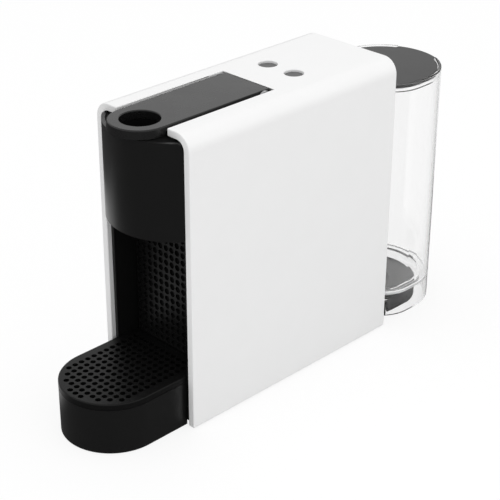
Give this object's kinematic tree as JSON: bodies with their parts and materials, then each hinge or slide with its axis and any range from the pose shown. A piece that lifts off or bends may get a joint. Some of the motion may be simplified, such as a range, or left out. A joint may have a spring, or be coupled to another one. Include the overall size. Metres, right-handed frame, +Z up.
{
  "type": "pod coffee machine",
  "caption": "Slim capsule coffee machine with a lift-up lever, sliding brew cage, pull-out drip tray and bin, and a lift-off clear water tank.",
  "frame": {"origin": "on the table under the middle of the machine's box", "axes": "+Z up, front and drip tray towards -Y, water tank towards +Y, +X to the right seen from the front"},
  "size_m": [0.084, 0.33, 0.204],
  "materials": {
    "white_shell": "smooth satin moulded",
    "black_shell": "fine satin moulded",
    "black_frame": "matte moulded",
    "lever_black": "satin moulded",
    "button_grey": "soft satin",
    "clear_tank": "clear polished",
    "smoked_lid": "smoked polished",
    "inner_white": "moulded",
    "inner_dark": "moulded",
    "valve_red": "moulded",
    "rotor_blue": "moulded",
    "rubber": "matte",
    "hose": "satin silicone",
    "steel": "bright",
    "cast_alloy": "as cast",
    "circuit": "lacquered board"
  },
  "bodies": {
    "machine": {"outer_cover": "white_shell", "side_frame_left": "black_frame", "side_frame_right": "black_frame", "base_chassis": "black_frame", "dock_cover": "black_frame", "rear_wall": "black_frame", "bulkhead": "inner_dark", "mid_shelf": "inner_dark", "head_cover": "black_shell", "head_floor": "black_shell", "head_deck": "black_frame", "brew_frame": "inner_dark", "extraction_plate": "steel", "coffee_spout": "black_shell", "capsule_guide": "inner_dark", "hinge_pin": "steel", "thermoblock": "cast_alloy", "heater_tube": "steel", "thermostats": "inner_white", "pump_body": "inner_white", "pump_coil": "inner_dark", "pump_mounts": "rubber", "flow_meter_body": "inner_white", "flow_meter_lid": "inner_white", "suction_hose": "hose", "pump_hose": "hose", "pressure_hose": "hose", "brew_hose": "hose", "control_board": "circuit", "board_parts": "inner_dark", "button_board": "circuit", "button_switches": "inner_dark", "wire_loom": "rubber", "dock_seal": "rubber", "cord_gland": "rubber", "feet": "rubber", "base_screws": "steel", "frame_screws": "steel", "board_screws": "steel"},
    "lever": {"lever": "lever_black", "cam_plates": "steel"},
    "brew_cage": {"brew_cage": "inner_dark", "injector_plate": "steel", "cage_seal": "rubber"},
    "short_button": {"short_button": "button_grey"},
    "long_button": {"long_button": "button_grey"},
    "drawer": {"drip_tray": "black_shell", "capsule_bin": "black_shell"},
    "drip_grid": {"drip_grid": "black_shell"},
    "water_tank": {"water_tank": "clear_tank", "valve_seat": "inner_white"},
    "tank_lid": {"tank_lid": "smoked_lid"},
    "tank_valve": {"valve_plunger": "valve_red", "valve_spring": "steel"},
    "pump_plunger": {"pump_plunger": "steel"},
    "flow_rotor": {"flow_rotor": "rotor_blue"}
  },
  "joints": [
    {"name": "lever_hinge", "type": "hinge", "parent": "machine", "child": "lever", "pos_m": [0, -0.016, 0.1984], "axis": [-1, 0, 0], "range_deg": [0, 75]},
    {"name": "cage_slide", "type": "slide", "parent": "machine", "child": "brew_cage", "axis": [0, 1, 0], "range_m": [0, 0.02]},
    {"name": "short_button_press", "type": "slide", "parent": "machine", "child": "short_button", "axis": [0, 0, -1], "range_m": [0, 0.0012], "stiffness_N_per_m": 800, "springref_m": -0.0005},
    {"name": "long_button_press", "type": "slide", "parent": "machine", "child": "long_button", "axis": [0, 0, -1], "range_m": [0, 0.0012], "stiffness_N_per_m": 800, "springref_m": -0.0005},
    {"name": "drawer_slide", "type": "slide", "parent": "machine", "child": "drawer", "axis": [0, -1, 0], "range_m": [0, 0.1]},
    {"name": "grid_lift", "type": "slide", "parent": "drawer", "child": "drip_grid", "axis": [0, 0, 1], "range_m": [0, 0.06]},
    {"name": "tank_lift", "type": "slide", "parent": "machine", "child": "water_tank", "axis": [0, 0, 1], "range_m": [0, 0.12]},
    {"name": "lid_lift", "type": "slide", "parent": "water_tank", "child": "tank_lid", "axis": [0, 0, 1], "range_m": [0, 0.05]},
    {"name": "valve_open", "type": "slide", "parent": "water_tank", "child": "tank_valve", "axis": [0, 0, 1], "range_m": [0, 0.003], "stiffness_N_per_m": 150, "springref_m": -0.002},
    {"name": "pump_stroke", "type": "slide", "parent": "machine", "child": "pump_plunger", "axis": [0, 1, 0], "range_m": [0, 0.004], "stiffness_N_per_m": 1500, "springref_m": -0.001},
    {"name": "rotor_spin", "type": "hinge", "parent": "machine", "child": "flow_rotor", "pos_m": [-0.0194, 0.0585, 0.012], "axis": [0, 0, 1], "continuous": true}
  ],
  "couplings": [
    {"joint": "cage_slide", "follows": "lever_hinge", "m_per_rad": 0.015279}
  ]
}
